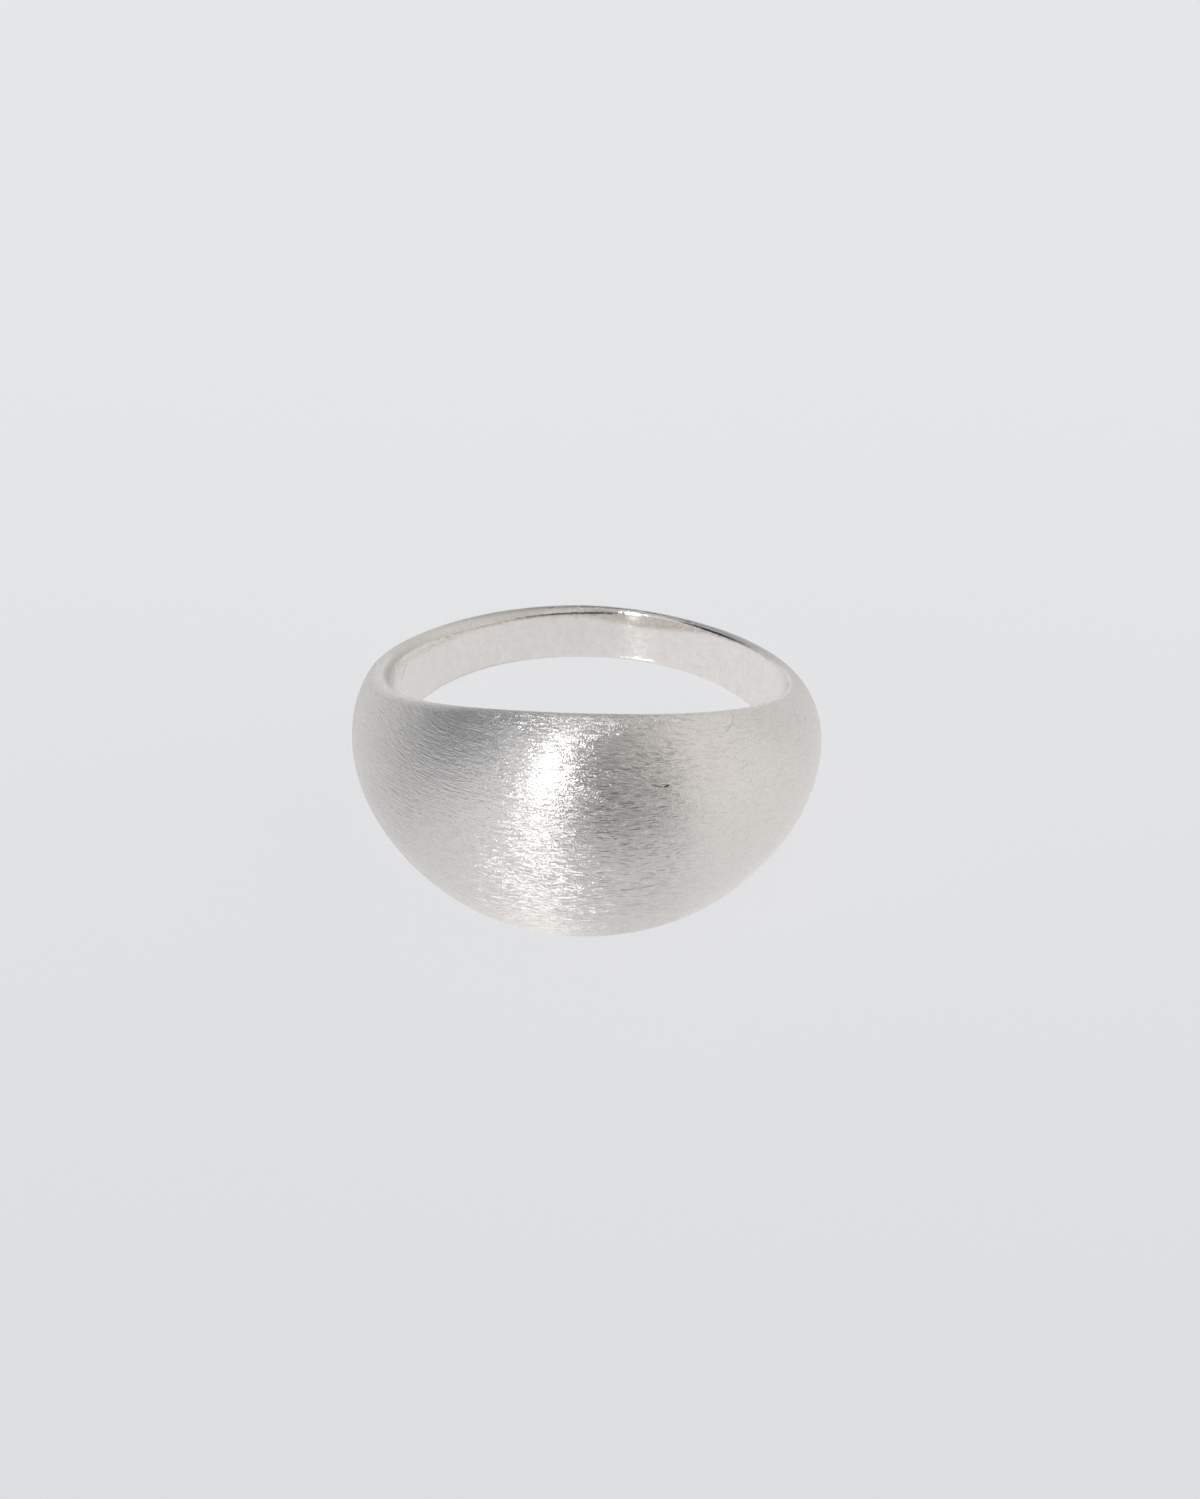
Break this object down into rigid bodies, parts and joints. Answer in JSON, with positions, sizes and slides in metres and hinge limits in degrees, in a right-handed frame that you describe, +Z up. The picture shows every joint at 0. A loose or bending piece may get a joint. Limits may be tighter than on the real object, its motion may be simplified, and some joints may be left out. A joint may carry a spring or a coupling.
{
  "type": "dome ring",
  "caption": "Plain silver finger ring whose narrow shank swells at the front into a wide smooth dome with a brushed satin finish; it lies on its side.",
  "frame": {"origin": "on the ground, under the middle of the ring's box as it lies on its side", "axes": "+Z up, the dome towards -Y, the shank towards +Y, +X across the finger; the bore's axis leans 12.8 degrees from +Z towards +Y"},
  "size_m": [0.0204, 0.021, 0.0105],
  "materials": {
    "brushed_silver": "satin silver, finely brushed round the finger on the outside, smoother inside"
  },
  "bodies": {
    "root": {"ring": "brushed_silver"}
  },
  "joints": []
}
